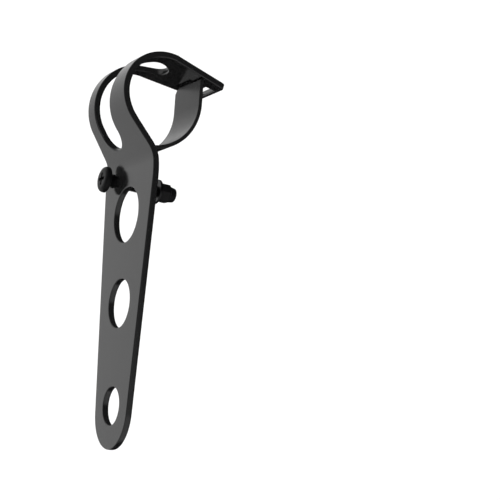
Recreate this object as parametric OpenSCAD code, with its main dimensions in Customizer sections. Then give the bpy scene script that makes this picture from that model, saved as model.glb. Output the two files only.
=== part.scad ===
// Headlight mounting bracket for a fork tube, left-hand.
// The Y axis is the axis of the fork tube, with the origin at its centre. The arm hangs
// down along -Z with its outer face towards -X, and its near edge is on the -Y side.

/* [Fork clamp] */
// Diameter of the fork tube that the loop is curved for
clamp_d = 41; // [35:0.5:45]
// Angle of the leg below the loop, from the vertical
leg_angle = 36.5; // [32:0.5:40]
// Width of the plate where the leg joins the loop
loop_low_w = 47.8; // [45:0.2:50]
// Width of the plate at the top of the loop
loop_top_w = 39.4; // [37:0.2:43]

/* [Plate] */
// Thickness of the plate
plate_t = 3.2; // [2.5:0.1:4]
// Distance from the fork axis back to the outer face of the arm
arm_offset = 7.7; // [6:0.2:10]
// Radius of the bend between leg and arm, on the outer face
bend_r = 13.3; // [10:0.2:16]
// Widest width of the arm, at its top
arm_top_w = 57.6; // [55:0.2:61]
// Distance of the widest place below the fork axis
arm_top_drop = 38.8; // [37:0.2:42]
// Radius that rounds the outline at the widest place
shoulder_r = 30; // [10:1:40]
// Distance of the centre of the arm's rounded lower end below the fork axis
arm_drop = 154.8; // [145:0.2:175]
// Radius of the rounded lower end of the arm
arm_end_r = 18.9; // [16:0.1:21]

/* [Flange] */
// Slope of the flange below the horizontal
flange_drop = 13.3; // [8:0.2:18]
// Length of the flange past the loop
flange_len = 31.9; // [31:0.1:40]
// Width of the flange at its tip
flange_tip_w = 26; // [25.4:0.2:36]
// Radius of the corners at the tip
flange_corner_r = 2.5; // [0.5:0.1:5]

/* [Hook slots] */
// Distance of the inner slot from the end of the loop
slot_inner_pos = 15.2; // [14:0.1:17]
// Distance of the outer slot from the end of the loop
slot_outer_pos = 25; // [24:0.1:26]
// Opening of each slot along the flange
slot_open = 4.7; // [4.2:0.1:5.5]
// Place of the slots across the flange
slot_y = 2.9; // [1:0.1:4]

/* [Holes in the arm] */
// Diameter of the lamp bolt hole, lowest
lamp_hole_d = 18.8; // [10:0.1:24]
// Distance of the lamp bolt hole above the centre of the rounded end
lamp_hole_rise = 2.3; // [0:0.1:6]
// Diameter of the middle hole
middle_hole_d = 24.4; // [10:0.1:28]
// Distance of the middle hole below the fork axis
middle_hole_drop = 102; // [96:0.1:106]
// Diameter of the upper hole
upper_hole_d = 28.2; // [10:0.1:28.6]
// Distance of the upper hole below the fork axis
upper_hole_drop = 57.4; // [56.5:0.1:62]

/* [Window in the loop] */
// Width of the window at its lower end
window_low_w = 17.6; // [12:0.2:20]
// Place of the lower end across the plate
window_low_y = 6.4; // [3:0.1:8]
// Distance of the centre of the lower end down the leg
window_low_s = 3.6; // [1:0.1:6]
// Width of the window at its upper end
window_top_w = 20; // [12:0.2:21]
// Place of the upper end across the plate
window_top_y = 1.2; // [0:0.1:4]
// Angle of the upper end above the horizontal, round the fork
window_top_angle = 86; // [60:1:90]

/* [Clamp strap] */
// Thickness of the strap
strap_t = 1.9; // [1.5:0.1:2.4]
// Width of the strap
strap_w = 29; // [26:0.2:30]
// Inner radius of the strap before it is pulled tight, above the fork radius
strap_ease = 5.2; // [4.9:0.1:6]
// Chamfer on the far top corner of the strap
strap_chamfer = 2.3; // [1:0.1:2.8]
// Radius inside the bend above the foot of the strap
strap_bend_r = 3; // [2:0.1:4]
// Width of the tongue that goes through the slot
tongue_w = 13; // [10:0.2:14]
// Place of the tongue across the flange
tongue_y = 4; // [3.4:0.1:4.4]
// Length of the tongue where it is bent over on the flange
tongue_hook = 5; // [3:0.1:6]
// Length of the foot below its bend, at the near edge
foot_len = 5; // [3:0.5:9]
// Radius round the screw hole in the foot
ear_r = 7; // [6:0.1:8]

/* [Clamp screw] */
// Diameter of the screw
screw_d = 6; // [5:0.1:6.2]
// Length of the screw under its head
screw_len = 35; // [34:0.5:37]
// Distance of the screw from the widest place of the arm's far side
screw_edge = 9; // [8:0.1:9.8]
// Distance of the screw below the fork axis
screw_drop = 37.5; // [37:0.1:40]
// Angle by which the loose screw sags at its nut
screw_sag = 3.5; // [0:0.5:3.5]
// Gap between the screw head and the arm
head_gap = 3.3; // [1:0.1:4]
// Diameter of the screw head
head_d = 13.4; // [11:0.1:14]
// Height of the screw head
head_h = 3.2; // [2.8:0.1:5]
// Clearance of the screw in the plate and the strap, on the diameter
screw_clear = 1; // [0.8:0.1:1.4]
// Outer diameter of the washer
washer_d = 13; // [11:0.1:14]
// Thickness of the washer
washer_t = 1.4; // [1:0.1:1.8]
// Width across the flats of the nut
nut_af = 9; // [8.6:0.1:11]
// Length of the hexagon of the nut
nut_hex_len = 6; // [5:0.1:7]
// Length of the collar of the nut
nut_collar_len = 3.4; // [2:0.1:4]
// Length of the collar that stands past the end of the screw
nut_overhang = 3.5; // [0.5:0.1:4]

/* [Hidden] */
$fn = 96;
big = 400;
clamp_r = clamp_d / 2;
loop_r = clamp_r + plate_t;
arm_x = -arm_offset;
arm_in_x = arm_x + plate_t;

// Flat stretches stand this much inside the curves they meet, so the two cross cleanly
seam = 0.01;
// Length by which the curves run on into the flats
lap = 2.2;

// The leg runs along leg_dir, and leg_out is its outward normal
leg_dir = [sin(leg_angle), -cos(leg_angle)];
leg_out = [-cos(leg_angle), -sin(leg_angle)];
bend_x = arm_x - bend_r;
leg_len = (bend_x - (loop_r + bend_r) * leg_out[0]) / leg_dir[0];
bend_z = (loop_r + bend_r) * leg_out[1] + leg_len * leg_dir[1];

// Half widths of the plate, and where its sides turn
end_z = -arm_drop;
wide = [arm_top_w / 2, -arm_top_drop];
low = [loop_low_w / 2, loop_r * leg_out[1]];
top_z = clamp_r * 0.95;
side_rise = wide[1] - end_z;
side_reach = norm([wide[0], side_rise]);
side_angle = acos(arm_end_r / side_reach) - atan(side_rise / wide[0]);
end_tangent = [arm_end_r * cos(side_angle), end_z - arm_end_r * sin(side_angle)];

// The slots lie across the flange, and the strap drops through the inner one
slot_w = tongue_w + 4;
flange_cos = cos(flange_drop);
flange_sin = sin(flange_drop);
flange_root_x = (clamp_r + plate_t / 2) * flange_sin;
strap_at = slot_inner_pos + slot_open / 2;
strap_mid_x = strap_at * flange_cos + clamp_r * flange_sin + 0.4;
strap_in_x = strap_mid_x - strap_t / 2;
strap_out_x = strap_mid_x + strap_t / 2;
strap_r = clamp_r + strap_ease;
strap_out_r = strap_r + strap_t;
strap_x = strap_in_x + seam - strap_r;
strap_z = 2.4;
seat_gap = 0.2;
// The round ends of the window are this much wider than its sides
end_ease = 1.01;
// Heights of the flange over the two faces of the strap
under_z = (clamp_r - strap_out_x * flange_sin) / flange_cos;
over_z = (loop_r - strap_in_x * flange_sin) / flange_cos;
shoulder_z = under_z - seat_gap;

// The foot of the strap lies along the inner face of the arm
foot_x = arm_in_x;
foot_in_x = foot_x + strap_t;
foot_bend_x = foot_in_x + strap_bend_r - seam;
foot_reach = strap_out_r + strap_bend_r - 2 * seam;
foot_bend_z = strap_z - sqrt(pow(foot_reach, 2) - pow(foot_bend_x - strap_x, 2));
foot_turn = atan2(foot_bend_z - strap_z, foot_bend_x - strap_x);
foot_low_z = foot_bend_z - foot_len;

screw_y = arm_top_w / 2 - screw_edge;
screw_z = -screw_drop;
hole_d = screw_d + screw_clear;
head_x = arm_x - head_gap;
tip_x = head_x + screw_len;
nut_end_x = tip_x + nut_overhang;
nut_x = nut_end_x - nut_collar_len - nut_hex_len;
thread_gap = 0.1;

// Points that round corner b of the path a, b, c with radius r
function unit(v) = v / norm(v);
function round_corner(a, b, c, r, n = 8) =
    let (u = unit(a - b), v = unit(c - b),
         half = acos(u * v) / 2,
         mid = b + unit(u + v) * (r / sin(half)),
         p = b + u * (r / tan(half)),
         q = b + v * (r / tan(half)),
         a0 = atan2(p[1] - mid[1], p[0] - mid[0]),
         turn = atan2(q[1] - mid[1], q[0] - mid[0]) - a0,
         sweep = turn > 180 ? turn - 360 : turn < -180 ? turn + 360 : turn)
    [for (i = [0:n]) mid + r * [cos(a0 + sweep * i / n), sin(a0 + sweep * i / n)]];

// The same points on the other side of the centre line, in reverse order
function mirrored(pts) = [for (i = [len(pts) - 1:-1:0]) [-pts[i][0], pts[i][1]]];

// Point where a line from p touches the circle round c, on the side given by +1 or -1
function touch(p, c, r, side) =
    let (d = norm(p - c), a = atan2(p[1] - c[1], p[0] - c[0]) + side * acos(r / d))
    c + r * [cos(a), sin(a)];

// Points of an arc round c, from one angle to the other
function arc(c, r, from, to, n) =
    [for (i = [0:n]) c + r * [cos(from + (to - from) * i / n), sin(from + (to - from) * i / n)]];

// Turns a drawing of the XZ plane into a solid along Y, centred on y = 0
module along_y(width) {
    rotate([90, 0, 0]) linear_extrude(height = width, center = true) children();
}

// Turns a drawing of the YZ plane into a solid along X, from x0 to x1
module along_x(x0, x1) {
    translate([x0, 0, 0]) rotate([90, 0, 90]) linear_extrude(height = x1 - x0) children();
}

// Disc sector that carries a sheet of thickness t round a bend of inner radius r. Its
// ends slant a little way into the flat stretches that follow.
module bend(c, r, t, from, to) {
    a = [cos(from), sin(from)];
    b = [cos(to), sin(to)];
    before = [sin(from), -cos(from)];
    after = [-sin(to), cos(to)];
    near = r - 0.2 * t;
    far = r + 2 * t;
    translate(c) intersection() {
        circle(r = r + t);
        polygon(concat([near * a, far * a + lap * before],
                       arc([0, 0], 2 * far, from, to, 6),
                       [far * b + lap * after, near * b]));
    }
}

// Side view of the folded sheet: arm, bend, leg, loop and flange
module plate_side() {
    bend_c = [bend_x, bend_z];
    leg_end = leg_dir * leg_len;
    flange_dir = [flange_cos, -flange_sin];
    flange_up = [flange_sin, flange_cos];
    flange_end = flange_dir * (flange_len + 1);
    difference() {
        union() {
            polygon([[arm_x - seam, -big], [arm_x - seam, bend_z], bend_c,
                     leg_out * (loop_r + seam) + leg_end, leg_out * (loop_r - seam),
                     leg_out * (clamp_r - seam), leg_out * (clamp_r + seam) + leg_end,
                     [arm_in_x - seam, bend_z], [arm_in_x - seam, -big]]);
            bend(bend_c, bend_r, plate_t, 0, leg_angle);
            bend([0, 0], clamp_r, plate_t, 90 - flange_drop, 180 + leg_angle);
            polygon([flange_up * (loop_r - seam), flange_up * (loop_r - seam) + flange_end,
                     flange_up * (clamp_r - seam) + flange_end, flange_up * (clamp_r - seam)]);
        }
        circle(r = clamp_r);
        translate(bend_c) circle(r = bend_r);
    }
}

// Front view of the sheet, with tapered sides and a rounded lower end
module plate_front() {
    side = concat(arc([0, end_z], arm_end_r, -90, -side_angle, 16),
                  round_corner(end_tangent, wide, low, shoulder_r),
                  [low, [loop_top_w / 2, top_z], [loop_top_w / 2, 2 * loop_r]]);
    polygon(concat(side, mirrored(side)));
}

// Outline of the flange in its own plane, with the loop's end at zero. It starts a
// little way back, just inside the sides of the loop.
module flange_outline() {
    start = [loop_top_w / 2 - 2 * seam, 0];
    tip = [flange_tip_w / 2, flange_len];
    side = concat([start - [0, lap], start],
                  round_corner(start, tip, [0, flange_len], flange_corner_r));
    rotate(-90) polygon(concat(side, mirrored(side)));
}

// Slot through the flange at a distance from the end of the loop
module hook_slot(at) {
    rotate([0, flange_drop, 0])
        translate([at, slot_y - slot_w / 2, clamp_r - plate_t])
            cube([slot_open, slot_w, 3 * plate_t]);
}

// Tapered window that runs from the leg round to the top of the loop. Its round ends
// are a little wider than the straight sides where they meet.
module window() {
    low_at = leg_out * clamp_r + leg_dir * window_low_s;
    top_dir = [-cos(window_top_angle), sin(window_top_angle)];
    low_r = window_low_w / 2;
    top_r = window_top_w / 2;
    z0 = low_at[1];
    z1 = loop_r * top_dir[1];
    cut = 3 * plate_t;
    far_out = 3 * loop_r;
    translate([low_at[0], window_low_y, low_at[1]]) rotate([0, -90 - leg_angle, 0])
        translate([0, 0, -plate_t]) cylinder(r = low_r * end_ease, h = cut);
    translate([0, window_top_y, 0]) rotate([0, window_top_angle - 90, 0])
        translate([0, 0, clamp_r - plate_t]) cylinder(r = top_r * end_ease, h = cut);
    intersection() {
        along_y(big)
            polygon([[0, 0], leg_dir * window_low_s, leg_dir * window_low_s + leg_out * far_out,
                     [-far_out, far_out], top_dir * far_out]);
        along_x(-big, big)
            polygon([[window_low_y - low_r, z0 - cut], [window_low_y + low_r, z0 - cut],
                     [window_low_y + low_r, z0], [window_top_y + top_r, z1],
                     [window_top_y + top_r, z1 + cut], [window_top_y - top_r, z1 + cut],
                     [window_top_y - top_r, z1], [window_low_y - low_r, z0]]);
    }
}

// Round hole through the arm
module arm_hole(d, y, z) {
    translate([arm_x - plate_t, y, z]) rotate([0, 90, 0]) cylinder(d = d, h = 3 * plate_t);
}

// Folded sheet: arm, leg, loop and flange in one piece
module bracket_plate() {
    color([0.16, 0.16, 0.17]) difference() {
        union() {
            intersection() {
                along_y(big) plate_side();
                along_x(-big, flange_root_x) plate_front();
            }
            intersection() {
                along_y(big) plate_side();
                rotate([0, flange_drop, 0]) translate([0, 0, clamp_r - plate_t])
                    linear_extrude(height = 3 * plate_t) flange_outline();
            }
        }
        window();
        hook_slot(slot_inner_pos);
        hook_slot(slot_outer_pos);
        arm_hole(lamp_hole_d, 0, end_z + lamp_hole_rise);
        arm_hole(middle_hole_d, 0, -middle_hole_drop);
        arm_hole(upper_hole_d, 0, -upper_hole_drop);
        arm_hole(hole_d, screw_y, screw_z);
    }
}

// Side view of the strap, from its shoulders round under the fork to its foot
module strap_side() {
    centre = [strap_x, strap_z];
    bend_c = [foot_bend_x, foot_bend_z];
    difference() {
        union() {
            translate([strap_in_x, strap_z]) square([strap_t, shoulder_z - strap_z]);
            bend(centre, strap_r, strap_t, foot_turn, 0);
            bend(bend_c, strap_bend_r, strap_t, 180 + foot_turn, 180);
            translate([foot_x, foot_bend_z - 1]) square([strap_t, 1]);
        }
        translate(centre) circle(r = strap_r);
        translate(bend_c) circle(r = strap_bend_r);
    }
}

// Side view of the tongue, which goes up through the slot and is bent over outwards
module tongue_side() {
    hook_z = over_z + seat_gap;
    lie = [flange_cos, -flange_sin] * tongue_hook;
    lift = [flange_sin, flange_cos] * strap_t;
    corner = [strap_in_x, hook_z + strap_t];
    polygon([[strap_in_x, shoulder_z - 1], [strap_out_x, shoulder_z - 1],
             [strap_out_x, hook_z - strap_t * flange_sin / flange_cos],
             [strap_in_x, hook_z] + lie, [strap_in_x, hook_z] + lie + lift, corner]);
}

// Foot of the strap, with an ear that reaches out to the screw
module strap_foot() {
    half = strap_w / 2;
    centre = [screw_y, screw_z];
    near_low = [-half, foot_low_z];
    far_high = [half, foot_bend_z - 0.5];
    difference() {
        union() {
            polygon([[-half, foot_bend_z - 0.5], near_low, touch(near_low, centre, ear_r - seam, 1),
                     centre, touch(far_high, centre, ear_r - seam, -1), far_high]);
            translate(centre) circle(r = ear_r);
        }
        translate(centre) circle(d = hole_d);
    }
}

// Corner that is cut from the strap at its far shoulder
module shoulder_cut() {
    y = strap_w / 2;
    z = shoulder_z - strap_chamfer;
    along_x(strap_in_x - 1, strap_out_x + 1)
        polygon([[y - strap_chamfer, shoulder_z], [y, z], [y + 1, z],
                 [y + 1, shoulder_z + 1], [y - strap_chamfer, shoulder_z + 1]]);
}

// Strap that closes the loop under the fork
module clamp_strap() {
    color([0.2, 0.2, 0.21]) union() {
        difference() {
            along_y(strap_w) strap_side();
            shoulder_cut();
        }
        translate([0, tongue_y, 0]) along_y(tongue_w) tongue_side();
        along_x(foot_x, foot_in_x) strap_foot();
    }
}

// Frame of the screw: X runs along it, and zero is the outer face of the arm
module on_screw() {
    translate([arm_x, screw_y, screw_z]) rotate([0, screw_sag, 0]) rotate([0, 90, 0])
        children();
}

// Screw with a domed head
module clamp_screw() {
    dome_r = (pow(head_d / 2, 2) + pow(head_h * 0.7, 2)) / (1.4 * head_h);
    color([0.12, 0.12, 0.13]) on_screw() {
        translate([0, 0, -head_gap]) cylinder(d = screw_d, h = screw_len);
        intersection() {
            translate([0, 0, -head_gap - 2 * head_h]) cylinder(d = head_d, h = 2 * head_h);
            translate([0, 0, dome_r - head_h - head_gap]) sphere(r = dome_r);
        }
    }
}

// Plain washer next to the nut
module washer() {
    color([0.45, 0.45, 0.46]) on_screw()
        translate([0, 0, nut_x - arm_x - washer_t]) difference() {
            cylinder(d = washer_d, h = washer_t);
            translate([0, 0, -1]) cylinder(d = screw_d + 0.4, h = washer_t + 2);
        }
}

// Lock nut: a hexagon with a tapered collar round its end
module lock_nut() {
    bore = screw_d + 2 * thread_gap;
    color([0.12, 0.12, 0.13]) on_screw()
        translate([0, 0, nut_x - arm_x]) difference() {
            union() {
                rotate(90) cylinder(d = nut_af / cos(30), h = nut_hex_len, $fn = 6);
                translate([0, 0, nut_hex_len])
                    cylinder(d1 = nut_af - 0.4, d2 = nut_af - 1.6, h = nut_collar_len);
            }
            translate([0, 0, -1]) cylinder(d = bore, h = nut_hex_len + nut_collar_len + 2);
        }
}

bracket_plate();
clamp_strap();
clamp_screw();
washer();
lock_nut();
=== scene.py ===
"""Looks of a left-hand headlight bracket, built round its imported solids.

The frame is in metres: +Y runs along the fork tube, +Z is up, and the arm hangs along -Z
with its outer face towards -X.
"""

import math

import bmesh
import bpy
from mathutils import Matrix, Vector


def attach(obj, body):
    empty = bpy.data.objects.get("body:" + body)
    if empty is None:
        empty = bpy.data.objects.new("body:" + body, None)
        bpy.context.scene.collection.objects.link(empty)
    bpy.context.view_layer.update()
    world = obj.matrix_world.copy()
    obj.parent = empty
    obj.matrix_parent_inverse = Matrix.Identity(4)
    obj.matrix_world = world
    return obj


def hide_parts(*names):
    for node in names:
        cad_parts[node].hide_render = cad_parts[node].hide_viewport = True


bl_info = {
    "name": "Headlight Bracket",
    "version": (1, 0, 0),
    "blender": (4, 5, 0),
    "location": "View3D > Sidebar > Bracket",
    "description": "Dresses a folded headlight bracket with its strap, screw and nut",
    "category": "Object",
}

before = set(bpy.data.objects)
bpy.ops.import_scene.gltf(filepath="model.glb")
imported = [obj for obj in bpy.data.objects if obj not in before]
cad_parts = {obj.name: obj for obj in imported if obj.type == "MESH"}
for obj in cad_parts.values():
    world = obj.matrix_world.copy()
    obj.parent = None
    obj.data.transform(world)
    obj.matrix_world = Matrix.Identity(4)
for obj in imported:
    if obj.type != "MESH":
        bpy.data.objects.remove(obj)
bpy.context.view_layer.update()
MM = 0.001
BODY = "root"

# The screw: a point on its axis where it passes the outer face of the arm, and its sag.
# Distances along it are counted from there, in millimetres.
SCREW_ORIGIN = Vector((-7.7, 19.8, -37.5)) * MM
SCREW_SAG = math.radians(3.5)
HEAD_SEAT = -3.3
HEAD_HEIGHT = 3.2
HEAD_RADIUS = 6.7
SHANK_RADIUS = 3.0
THREAD_ROOT = 2.45
SHANK_END = HEAD_SEAT + 35
PLAIN_END = 9.0
SHANK_POINT = 0.6
NECK = 0.3

# The head: its dome as (radius, distance below its top), its rim's height and broken corner
DOME = ((4.4, 0), (5.3, 0.12), (6.0, 0.5), (6.45, 1.05))
RIM_HEIGHT, RIM_BREAK = 1.5, 0.25
WASHER_START, WASHER_END = 24.4, 25.8
WASHER_RADIUS, WASHER_BORE = 6.5, 3.2
NUT_START, NUT_TURN, NUT_END = 25.8, 31.8, 35.2
NUT_FLAT = 4.5
NUT_BORE = 3.1
NUT_RIM, BORE_BREAK = 0.2, 0.5
COLLAR_FOOT, COLLAR_TIP = 4.3, 3.7

# Steps of a full turn, for round pieces and for the thread
TURN_STEPS = 96
THREAD_STEPS = 24

# The cross recess: half the width of its arms and their reach, then how deep each level
# goes and how far it shrinks
RECESS_HALF, RECESS_REACH = 0.85, 3.3
RECESS_LEVELS = ((0.15, 0.96), (1.55, 0.6), (0.4, 0.3))

# The thread: how far past the plain shank it starts, how much shorter than the rest of the
# shank it is, how deep its foot sinks in, and its half widths as shares of the pitch
THREAD_GAP, THREAD_SHORT, THREAD_SINK = 0.3, 1.2, 0.15
RIDGE_FOOT, RIDGE_FLANK, RIDGE_CREST = 0.45, 0.42, 0.07

# The photograph's viewpoint, with the picture's centre on the lens axis
CAMERA_AZIMUTH = math.radians(-29.191)
CAMERA_ELEVATION = math.radians(-8.859)
CAMERA_ROLL = math.radians(-3.731)
CAMERA_PLACE = Vector((-273.393, -604.606, -173.629)) * MM
CAMERA_LENS = 96.336
SENSOR_WIDTH = 36

# Gloss sees the surround white towards this side and dark on the other: the cosines where
# it starts to brighten and is white, and the light of both parts
WHITE_SIDE = Vector((-0.6, 0.8, 0.2)).normalized()
DARK_TO, WHITE_FROM = 0.44, 0.74
DARK_LIGHT, WHITE_LIGHT = 0.012, 0.90

# The surround's ground side, mirrored in views from behind and above: how near a direction
# lies to it where its light starts and is full, and its strength
GROUND_SIDE = Vector((0, -0.6, -0.8))
GROUND_FROM, GROUND_TO = 0.5, 0.78
GROUND_LIGHT = 0.7

# How near points are merged in the copies of the plate and the strap
PLATE_REACH, STRAP_REACH = 0.25 * MM, 0.11 * MM

# Where the flange leaves the loop's sides in a tiny step, whose edges stay square
STEP_X = (4.4 * MM, 6.0 * MM)
STEP_Y = 18.5 * MM
STEP_Z = 19.0 * MM

# Faces that turn by less are one flat face, and edges that turn by more are sharp
FLAT_WITHIN = math.radians(0.2)
SHARP_FROM = math.radians(35)

# Distance at which points of a new mesh count as one, and how far off a level they may lie
SAME_POINT = 1e-7
SAME_LEVEL = 1e-6

# Shine of the coats and platings
PLATE_IOR, STRAP_IOR = 1.5, 1.4
SCREW_IOR, NUT_IOR = 1.2, 1.22
PLATING_ROUGHNESS, WASHER_ROUGHNESS = 0.36, 0.4

# Scales of the patterns on the pieces, and the depth of their relief in metres
GLOSS_SCALE, PEEL_SCALE, PEEL_DEPTH = 60, 900, 0.00003
PATCH_SCALE, GRAIN_SCALE, GRAIN_DEPTH = 220, 2500, 0.00002

# The stage: where the lights aim, and the floor's reach, wall and curve in metres
LIGHT_AIM = Vector((0, 0, -0.07))
FLOOR_HALF, FLOOR_BACK, FLOOR_RISE, FLOOR_TURN = 4.0, 3.0, 3.0, 1.0
FLOOR_STEPS = 12


# Meshes

def new_piece(name, bm, material, slot, *nodes):
    """Makes an object of a bmesh, in place of the named solids."""
    mesh = bpy.data.meshes.new(name)
    bm.to_mesh(mesh)
    bm.free()
    piece = bpy.data.objects.new(name, mesh)
    bpy.context.scene.collection.objects.link(piece)
    mesh.materials.append(material)
    weigh = piece.modifiers.new("flat faces stay flat", "WEIGHTED_NORMAL")
    weigh.keep_sharp = True
    weigh.weight = 100
    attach(piece, BODY)
    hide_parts(*nodes)
    return piece


def merged_copy(node, reach):
    """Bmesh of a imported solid, points within reach merged and flat triangles joined."""
    bm = bmesh.new()
    bm.from_mesh(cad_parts[node].data)
    bmesh.ops.remove_doubles(bm, verts=bm.verts, dist=reach)
    bmesh.ops.dissolve_limit(
        bm, angle_limit=FLAT_WITHIN, verts=bm.verts, edges=bm.edges
    )
    return bm


def at_flange_step(edge):
    """True for an edge of the tiny step where the flange leaves the loop's sides."""
    return all(
        STEP_X[0] < v.co.x < STEP_X[1] and abs(v.co.y) > STEP_Y and v.co.z > STEP_Z
        for v in edge.verts
    )


def round_edges(bm, radius, segments):
    """Rounds every sharp edge but those of the flange's step, and shades the mesh smooth."""
    turned = [
        e for e in bm.edges
        if len(e.link_faces) == 2 and e.calc_face_angle() > SHARP_FROM and not at_flange_step(e)
    ]
    bmesh.ops.bevel(
        bm, geom=turned, offset=radius, offset_type="OFFSET", segments=segments,
        profile=0.5, affect="EDGES", clamp_overlap=False, material=-1,
    )
    shade_smooth(bm)


def shade_smooth(bm):
    """Smooth shading, with a hard edge only where the surface really turns."""
    for face in bm.faces:
        face.smooth = True
    for edge in bm.edges:
        if len(edge.link_faces) == 2 and edge.calc_face_angle() > SHARP_FROM:
            edge.smooth = False


def along_screw(bm):
    """Turns a mesh drawn round Z, with z = 0 at the arm's outer face, onto the screw's axis."""
    place = (
        Matrix.Translation(SCREW_ORIGIN)
        @ Matrix.Rotation(SCREW_SAG, 4, "Y")
        @ Matrix.Rotation(math.radians(90), 4, "Y")
    )
    bmesh.ops.transform(bm, matrix=place, verts=bm.verts)


def spun(points, steps, closed=False):
    """Bmesh of a profile of (radius, distance) points in millimetres, turned round Z."""
    bm = bmesh.new()
    verts = [bm.verts.new((r * MM, 0, z * MM)) for r, z in points]
    pairs = list(zip(verts, verts[1:]))
    if closed:
        pairs.append((verts[-1], verts[0]))
    edges = [bm.edges.new(pair) for pair in pairs]
    bmesh.ops.spin(
        bm, geom=verts + edges, cent=(0, 0, 0), axis=(0, 0, 1), angle=2 * math.pi,
        steps=steps, use_merge=True,
    )
    bmesh.ops.remove_doubles(bm, verts=bm.verts, dist=SAME_POINT)
    bmesh.ops.recalc_face_normals(bm, faces=bm.faces)
    return bm


def rounded(centre, radius, start, end, steps=6):
    """Points of an arc round a (radius, distance) centre, angles in degrees."""
    angles = [math.radians(start + (end - start) * i / steps) for i in range(steps + 1)]
    return [
        (centre[0] + radius * math.cos(a), centre[1] + radius * math.sin(a)) for a in angles
    ]


# Materials

def node_material(name):
    """An empty node material and its shader."""
    material = bpy.data.materials.new(name)
    material.use_nodes = True
    nodes = material.node_tree.nodes
    return material, nodes, material.node_tree.links, nodes["Principled BSDF"]


def noise(nodes, links, scale, detail=3.0, rough=0.5):
    """Noise on the piece's own coordinates."""
    coords = nodes.new("ShaderNodeTexCoord")
    texture = nodes.new("ShaderNodeTexNoise")
    texture.inputs["Scale"].default_value = scale
    texture.inputs["Detail"].default_value = detail
    texture.inputs["Roughness"].default_value = rough
    links.new(coords.outputs["Object"], texture.inputs["Vector"])
    return texture.outputs["Fac"]


def spread(nodes, links, value, low, high):
    """Maps noise to a range."""
    ramp = nodes.new("ShaderNodeMapRange")
    ramp.inputs["From Min"].default_value = 0.3
    ramp.inputs["From Max"].default_value = 0.7
    ramp.inputs["To Min"].default_value = low
    ramp.inputs["To Max"].default_value = high
    links.new(value, ramp.inputs["Value"])
    return ramp.outputs["Result"]


def bump(nodes, links, height, strength, distance, shader):
    """Fine relief on a shader."""
    node = nodes.new("ShaderNodeBump")
    node.inputs["Strength"].default_value = strength
    node.inputs["Distance"].default_value = distance
    links.new(height, node.inputs["Height"])
    links.new(node.outputs["Normal"], shader.inputs["Normal"])


def black_coat(name, colour, roughness, ior):
    """Smooth black coat on sheet steel, with faint orange peel and uneven gloss."""
    material, nodes, links, shader = node_material(name)
    shader.inputs["Base Color"].default_value = (*colour, 1)
    shader.inputs["IOR"].default_value = ior
    gloss = noise(nodes, links, GLOSS_SCALE, 4)
    links.new(
        spread(nodes, links, gloss, roughness * 0.85, roughness * 1.2),
        shader.inputs["Roughness"],
    )
    peel = noise(nodes, links, PEEL_SCALE, 2)
    bump(nodes, links, peel, 0.12, PEEL_DEPTH, shader)
    return material


def plated_steel(name, colour, roughness, metallic, ior=1.5):
    """Blackened or plated steel with a fine grain."""
    material, nodes, links, shader = node_material(name)
    shader.inputs["Base Color"].default_value = (*colour, 1)
    shader.inputs["Metallic"].default_value = metallic
    shader.inputs["IOR"].default_value = ior
    patches = noise(nodes, links, PATCH_SCALE, 4)
    links.new(
        spread(nodes, links, patches, roughness * 0.8, roughness * 1.25),
        shader.inputs["Roughness"],
    )
    grain = noise(nodes, links, GRAIN_SCALE, 3)
    bump(nodes, links, grain, 0.15, GRAIN_DEPTH, shader)
    return material


# Settings

class PlateSettings(bpy.types.PropertyGroup):
    """Looks of the folded plate."""

    colour: bpy.props.FloatVectorProperty(
        name="Coat colour", description="Colour of the plate's coat", subtype="COLOR",
        size=3, min=0, max=1, default=(0.006, 0.006, 0.0062),
    )
    gloss: bpy.props.FloatProperty(
        name="Roughness", description="Roughness of the plate's coat", subtype="FACTOR",
        min=0.02, max=1, default=0.14,
    )
    edge: bpy.props.FloatProperty(
        name="Edge radius", description="Rounding of the plate's edges", subtype="DISTANCE",
        unit="LENGTH", min=0.0001, max=0.0009, default=0.0006,
    )


class StrapSettings(bpy.types.PropertyGroup):
    """Looks of the clamp strap."""

    colour: bpy.props.FloatVectorProperty(
        name="Coat colour", description="Colour of the strap's coat", subtype="COLOR",
        size=3, min=0, max=1, default=(0.007, 0.007, 0.0072),
    )
    gloss: bpy.props.FloatProperty(
        name="Roughness", description="Roughness of the strap's coat", subtype="FACTOR",
        min=0.02, max=1, default=0.22,
    )
    edge: bpy.props.FloatProperty(
        name="Edge radius", description="Rounding of the strap's edges", subtype="DISTANCE",
        unit="LENGTH", min=0.0001, max=0.0009, default=0.0005,
    )


class ScrewSettings(bpy.types.PropertyGroup):
    """Looks of the screw and the nut."""

    colour: bpy.props.FloatVectorProperty(
        name="Plating colour", description="Colour of the black plating", subtype="COLOR",
        size=3, min=0, max=1, default=(0.0035, 0.0035, 0.0038),
    )
    washer_colour: bpy.props.FloatVectorProperty(
        name="Washer colour", description="Colour of the washer's plating", subtype="COLOR",
        size=3, min=0, max=1, default=(0.03, 0.03, 0.031),
    )
    pitch: bpy.props.FloatProperty(
        name="Thread pitch", description="Distance from one thread to the next",
        subtype="DISTANCE", unit="LENGTH", min=0.0005, max=0.002, default=0.001,
    )


class StageSettings(bpy.types.PropertyGroup):
    """Floor and light."""

    floor_drop: bpy.props.FloatProperty(
        name="Floor below the fork axis", description="Depth of the floor",
        subtype="DISTANCE", unit="LENGTH", min=0.2, max=1, default=0.36,
    )
    light: bpy.props.FloatProperty(
        name="Surround", description="Brightness of the white surround", min=0, max=5,
        default=1.15,
    )


# Pieces

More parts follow.
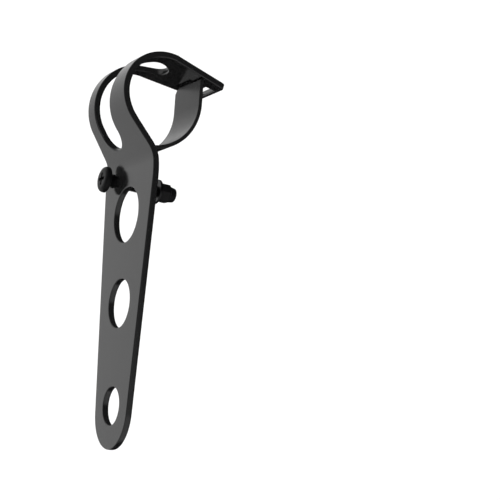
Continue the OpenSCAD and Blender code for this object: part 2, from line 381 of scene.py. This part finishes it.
class OBJECT_OT_folded_plate(bpy.types.Operator):
    """Folded plate with rounded edges and a black coat"""

    bl_idname = "object.folded_plate"
    bl_label = "Folded plate"

    def execute(self, context):
        looks = context.scene.plate_looks
        bm = merged_copy("bracket_plate", PLATE_REACH)
        round_edges(bm, looks.edge, 4)
        coat = black_coat("black_coat", looks.colour, looks.gloss, PLATE_IOR)
        new_piece("folded_plate", bm, coat, "plate_coat", "bracket_plate")
        return {"FINISHED"}


class OBJECT_OT_strap(bpy.types.Operator):
    """Strap that closes the loop"""

    bl_idname = "object.bracket_strap"
    bl_label = "Clamp strap"

    def execute(self, context):
        looks = context.scene.strap_looks
        bm = merged_copy("clamp_strap", STRAP_REACH)
        round_edges(bm, looks.edge, 3)
        coat = black_coat("strap_coat", looks.colour, looks.gloss, STRAP_IOR)
        new_piece("hooked_strap", bm, coat, "strap_coat", "clamp_strap")
        return {"FINISHED"}


class OBJECT_OT_screw(bpy.types.Operator):
    """Threaded screw with a cross recess in its low domed head"""

    bl_idname = "object.bracket_screw"
    bl_label = "Screw"

    def execute(self, context):
        looks = context.scene.screw_looks
        bm = screw_head_and_shank()
        add_thread(bm, looks.pitch / MM)
        shade_smooth(bm)
        along_screw(bm)
        black = plated_steel(
            "black_plating", looks.colour, PLATING_ROUGHNESS, 0.0, SCREW_IOR
        )
        new_piece("domed_screw", bm, black, "black_steel", "clamp_screw")
        return {"FINISHED"}


class OBJECT_OT_nut(bpy.types.Operator):
    """Lock nut with its collar, and the washer under it"""

    bl_idname = "object.bracket_nut"
    bl_label = "Nut and washer"

    def execute(self, context):
        looks = context.scene.screw_looks
        black = plated_steel("nut_plating", looks.colour, PLATING_ROUGHNESS, 0.0, NUT_IOR)
        dull = plated_steel("washer_plating", looks.washer_colour, WASHER_ROUGHNESS, 1.0)
        for name, bm, material, slot, node in (
            ("flat_washer", washer_shape(), dull, "washer_steel", "washer"),
            ("collar_nut", nut_shape(), black, "black_steel", "lock_nut"),
        ):
            shade_smooth(bm)
            along_screw(bm)
            new_piece(name, bm, material, slot, node)
        return {"FINISHED"}


def add_recess(bm, top):
    """Cross recess, cut out of the head's flat top and sunk with a taper."""
    bmesh.ops.holes_fill(bm, edges=[
        e for e in bm.edges if e.is_boundary and abs(e.verts[0].co.z - top) < SAME_LEVEL
    ])
    half, reach = RECESS_HALF * MM, RECESS_REACH * MM
    for axis in (Vector((1, 0, 0)), Vector((0, 1, 0))):
        for distance in (-reach, -half, half, reach):
            flat = [
                f for f in bm.faces if all(abs(v.co.z - top) < SAME_LEVEL for v in f.verts)
            ]
            edges = {e for f in flat for e in f.edges}
            verts = {v for f in flat for v in f.verts}
            bmesh.ops.bisect_plane(
                bm, geom=[*verts, *edges, *flat], dist=SAME_POINT,
                plane_co=axis * distance, plane_no=axis,
            )
    cross = []
    for face in bm.faces:
        middle = face.calc_center_median()
        near, far = sorted((abs(middle.x), abs(middle.y)))
        if abs(middle.z - top) < SAME_LEVEL and near < half and far < reach:
            cross.append(face)
    for depth, size in RECESS_LEVELS:
        made = bmesh.ops.extrude_face_region(bm, geom=cross)["geom"]
        bmesh.ops.delete(bm, geom=cross, context="FACES")
        cross = [f for f in made if isinstance(f, bmesh.types.BMFace)]
        verts = [v for v in made if isinstance(v, bmesh.types.BMVert)]
        bmesh.ops.translate(bm, vec=(0, 0, depth * MM), verts=verts)
        bmesh.ops.scale(bm, vec=(size, size, 1), verts=verts)


def screw_head_and_shank():
    """Low domed head with a cross recess, and the plain shank with a chamfered tip."""
    top = HEAD_SEAT - HEAD_HEIGHT
    rim = HEAD_SEAT - RIM_HEIGHT
    profile = [(radius, top + below) for radius, below in DOME]
    profile += [(HEAD_RADIUS, rim), (HEAD_RADIUS, HEAD_SEAT - RIM_BREAK)]
    profile += [(HEAD_RADIUS - RIM_BREAK, HEAD_SEAT), (SHANK_RADIUS + NECK, HEAD_SEAT)]
    profile += [(SHANK_RADIUS, HEAD_SEAT + NECK), (SHANK_RADIUS, PLAIN_END)]
    profile += [(THREAD_ROOT, PLAIN_END + 0.5), (THREAD_ROOT, SHANK_END - SHANK_POINT)]
    profile += [(THREAD_ROOT - SHANK_POINT, SHANK_END), (0, SHANK_END)]
    bm = spun(profile, TURN_STEPS)
    add_recess(bm, top * MM)
    bmesh.ops.recalc_face_normals(bm, faces=bm.faces)
    return bm


def add_thread(bm, pitch):
    """Helical ridge wound round the thinner part of the shank, closed at both ends."""
    turns = (SHANK_END - PLAIN_END - THREAD_SHORT) / pitch
    steps = int(turns * THREAD_STEPS)
    start = PLAIN_END + THREAD_GAP
    inner = THREAD_ROOT - THREAD_SINK
    root = THREAD_ROOT + 0.02
    outline = [
        (inner, -RIDGE_FOOT), (root, -RIDGE_FLANK), (SHANK_RADIUS, -RIDGE_CREST),
        (SHANK_RADIUS, RIDGE_CREST), (root, RIDGE_FLANK), (inner, RIDGE_FOOT),
    ]
    verts = [bm.verts.new((r * MM, 0, (start + z * pitch) * MM)) for r, z in outline]
    cap = bm.faces.new(verts)
    bmesh.ops.spin(
        bm, geom=[cap], cent=(0, 0, 0), axis=(0, 0, 1), dvec=(0, 0, pitch * MM / THREAD_STEPS),
        angle=2 * math.pi * steps / THREAD_STEPS, steps=steps,
    )
    bmesh.ops.recalc_face_normals(bm, faces=bm.faces)


def washer_shape():
    """Stamped washer: one pair of edges rolled over, the other nearly sharp."""
    low, high, roll, burr = WASHER_START, WASHER_END, 0.35, 0.08
    profile = rounded((WASHER_RADIUS - roll, high - roll), roll, 0, 90, 4)
    profile += rounded((WASHER_BORE + roll, high - roll), roll, 90, 180, 4)
    profile += rounded((WASHER_BORE + burr, low + burr), burr, 180, 270, 2)
    profile += rounded((WASHER_RADIUS - burr, low + burr), burr, 270, 360, 2)
    return spun(profile, TURN_STEPS, closed=True)


def nut_shape():
    """Hexagon with chamfered corners and a tapered collar, bored through."""
    corner = NUT_FLAT / math.cos(math.radians(30))
    seat = NUT_FLAT - NUT_RIM
    chamfer = (corner - seat) * math.tan(math.radians(30))
    bm = spun([
        (NUT_BORE, NUT_START + BORE_BREAK), (NUT_BORE + BORE_BREAK, NUT_START),
        (seat, NUT_START),
        (corner, NUT_START + chamfer), (corner, NUT_TURN - chamfer), (seat, NUT_TURN),
        (COLLAR_FOOT + 0.05, NUT_TURN), (COLLAR_FOOT - 0.05, NUT_TURN + 0.25),
        (COLLAR_TIP + 0.05, NUT_END - 0.6), (COLLAR_TIP - 0.12, NUT_END - 0.2),
        (COLLAR_TIP - 0.4, NUT_END), (NUT_BORE, NUT_END - 0.15),
    ], TURN_STEPS, closed=True)
    for i in range(6):
        way = Vector((math.cos(math.radians(60 * i)), math.sin(math.radians(60 * i)), 0))
        bmesh.ops.bisect_plane(
            bm, geom=bm.verts[:] + bm.edges[:] + bm.faces[:], dist=SAME_POINT,
            plane_co=way * NUT_FLAT * MM, plane_no=way, clear_outer=True,
        )
        bmesh.ops.holes_fill(bm, edges=[e for e in bm.edges if e.is_boundary])
    bmesh.ops.recalc_face_normals(bm, faces=bm.faces)
    return bm


class OBJECT_OT_stage(bpy.types.Operator):
    """Pale floor with a curved back, white surround, soft light and the camera"""

    bl_idname = "object.bracket_stage"
    bl_label = "Stage"

    def execute(self, context):
        looks = context.scene.stage_looks
        make_floor(looks.floor_drop)
        make_surround(looks.light)
        make_camera()
        return {"FINISHED"}


def make_floor(drop):
    """Floor that curves up into a wall far behind the bracket."""
    bm = bmesh.new()
    profile = [(-FLOOR_HALF, -drop)]
    for i in range(FLOOR_STEPS + 1):
        a = math.radians(90) * i / FLOOR_STEPS
        ahead = FLOOR_BACK - FLOOR_TURN + FLOOR_TURN * math.sin(a)
        profile.append((ahead, -drop + FLOOR_TURN - FLOOR_TURN * math.cos(a)))
    profile.append((FLOOR_BACK, FLOOR_RISE))
    verts = [bm.verts.new((-FLOOR_HALF, y, z)) for y, z in profile]
    edges = [bm.edges.new(pair) for pair in zip(verts, verts[1:])]
    made = bmesh.ops.extrude_edge_only(bm, edges=edges)
    moved = [v for v in made["geom"] if isinstance(v, bmesh.types.BMVert)]
    bmesh.ops.translate(bm, vec=(2 * FLOOR_HALF, 0, 0), verts=moved)
    for face in bm.faces:
        face.smooth = True
    mesh = bpy.data.meshes.new("floor")
    bm.to_mesh(mesh)
    bm.free()
    floor = bpy.data.objects.new("floor", mesh)
    bpy.context.scene.collection.objects.link(floor)
    material, _, _, shader = node_material("pale_floor")
    shader.inputs["Base Color"].default_value = (0.93, 0.93, 0.93, 1)
    shader.inputs["Roughness"].default_value = 0.9
    mesh.materials.append(material)
    floor.visible_glossy = False


def lit_side(nodes, links, coords, direction, cosines, lights):
    """Light that rises from one value to another as a direction nears the given one."""
    towards = nodes.new("ShaderNodeVectorMath")
    towards.operation = "DOT_PRODUCT"
    towards.inputs[1].default_value = direction
    links.new(coords.outputs["Generated"], towards.inputs[0])
    rise = nodes.new("ShaderNodeMapRange")
    rise.interpolation_type = "SMOOTHSTEP"
    rise.inputs["From Min"].default_value, rise.inputs["From Max"].default_value = cosines
    rise.inputs["To Min"].default_value, rise.inputs["To Max"].default_value = lights
    links.new(towards.outputs["Value"], rise.inputs["Value"])
    return rise.outputs["Result"]


def make_surround(strength):
    """White surround that gloss sees lit from two sides and dark elsewhere, and two lights."""
    scene = bpy.context.scene
    world = bpy.data.worlds.new("surround")
    world.use_nodes = True
    nodes, links = world.node_tree.nodes, world.node_tree.links
    background = nodes["Background"]
    background.inputs["Color"].default_value = (1, 1, 1, 1)
    coords = nodes.new("ShaderNodeTexCoord")
    side = lit_side(
        nodes, links, coords, WHITE_SIDE, (DARK_TO, WHITE_FROM), (DARK_LIGHT, WHITE_LIGHT)
    )
    ground = lit_side(
        nodes, links, coords, GROUND_SIDE, (GROUND_FROM, GROUND_TO), (0.0, GROUND_LIGHT)
    )
    brighter = nodes.new("ShaderNodeMath")
    brighter.operation = "MAXIMUM"
    links.new(side, brighter.inputs[0])
    links.new(ground, brighter.inputs[1])
    path = nodes.new("ShaderNodeLightPath")
    mix = nodes.new("ShaderNodeMix")
    mix.inputs["A"].default_value = strength
    links.new(path.outputs["Is Glossy Ray"], mix.inputs["Factor"])
    links.new(brighter.outputs["Value"], mix.inputs["B"])
    links.new(mix.outputs["Result"], background.inputs["Strength"])
    scene.world = world
    scene.view_settings.view_transform = "Standard"
    for name, place, size, power in (
        ("overhead", (0.1, -0.3, 1.4), 1.2, 14),
        ("side", (-1.3, -0.6, 0.5), 0.9, 6),
    ):
        data = bpy.data.lights.new(name, "AREA")
        data.size = size
        data.energy = power
        light = bpy.data.objects.new(name, data)
        light.location = place
        light.visible_glossy = False
        aim = LIGHT_AIM - light.location
        light.rotation_mode = "QUATERNION"
        light.rotation_quaternion = aim.to_track_quat("-Z", "Y")
        scene.collection.objects.link(light)


def make_camera():
    """Camera at the photograph's viewpoint."""
    az, el, roll = CAMERA_AZIMUTH, CAMERA_ELEVATION, CAMERA_ROLL
    back = Vector((math.sin(az) * math.cos(el), -math.cos(az) * math.cos(el), math.sin(el)))
    level = Vector((math.cos(az), math.sin(az), 0))
    above = back.cross(level)
    right = math.cos(roll) * level - math.sin(roll) * above
    up = math.sin(roll) * level + math.cos(roll) * above
    data = bpy.data.cameras.new("camera")
    data.sensor_width = SENSOR_WIDTH
    data.lens = CAMERA_LENS
    data.clip_start, data.clip_end = 0.01, 50
    camera = bpy.data.objects.new("camera", data)
    facing = Matrix((right, up, back)).transposed().to_4x4()
    camera.matrix_world = Matrix.Translation(CAMERA_PLACE) @ facing
    bpy.context.scene.collection.objects.link(camera)
    bpy.context.scene.camera = camera


# Panel

class VIEW3D_PT_bracket(bpy.types.Panel):
    """The bracket's pieces and their looks"""

    bl_label = "Headlight bracket"
    bl_idname = "VIEW3D_PT_bracket"
    bl_space_type = "VIEW_3D"
    bl_region_type = "UI"
    bl_category = "Bracket"

    def draw(self, context):
        scene = context.scene
        for looks, names, operator in (
            (scene.plate_looks, ("colour", "gloss", "edge"), OBJECT_OT_folded_plate),
            (scene.strap_looks, ("colour", "gloss", "edge"), OBJECT_OT_strap),
            (scene.screw_looks, ("colour", "pitch"), OBJECT_OT_screw),
            (scene.screw_looks, ("washer_colour",), OBJECT_OT_nut),
            (scene.stage_looks, ("floor_drop", "light"), OBJECT_OT_stage),
        ):
            box = self.layout.box()
            for name in names:
                box.prop(looks, name)
            box.operator(operator.bl_idname)


SETTINGS = {
    "plate_looks": PlateSettings,
    "strap_looks": StrapSettings,
    "screw_looks": ScrewSettings,
    "stage_looks": StageSettings,
}
OPERATORS = (
    OBJECT_OT_folded_plate,
    OBJECT_OT_strap,
    OBJECT_OT_screw,
    OBJECT_OT_nut,
    OBJECT_OT_stage,
)


def register():
    """Adds the settings, the operators and the panel."""
    for cls in (*SETTINGS.values(), *OPERATORS, VIEW3D_PT_bracket):
        bpy.utils.register_class(cls)
    for name, cls in SETTINGS.items():
        setattr(bpy.types.Scene, name, bpy.props.PointerProperty(type=cls))


def unregister():
    """Takes them away again."""
    for name in SETTINGS:
        delattr(bpy.types.Scene, name)
    for cls in reversed((*SETTINGS.values(), *OPERATORS, VIEW3D_PT_bracket)):
        bpy.utils.unregister_class(cls)


def main():
    """Builds the bracket and its stage."""
    register()
    bpy.ops.object.folded_plate()
    bpy.ops.object.bracket_strap()
    bpy.ops.object.bracket_screw()
    bpy.ops.object.bracket_nut()
    bpy.ops.object.bracket_stage()


if __name__ == "__main__":
    main()
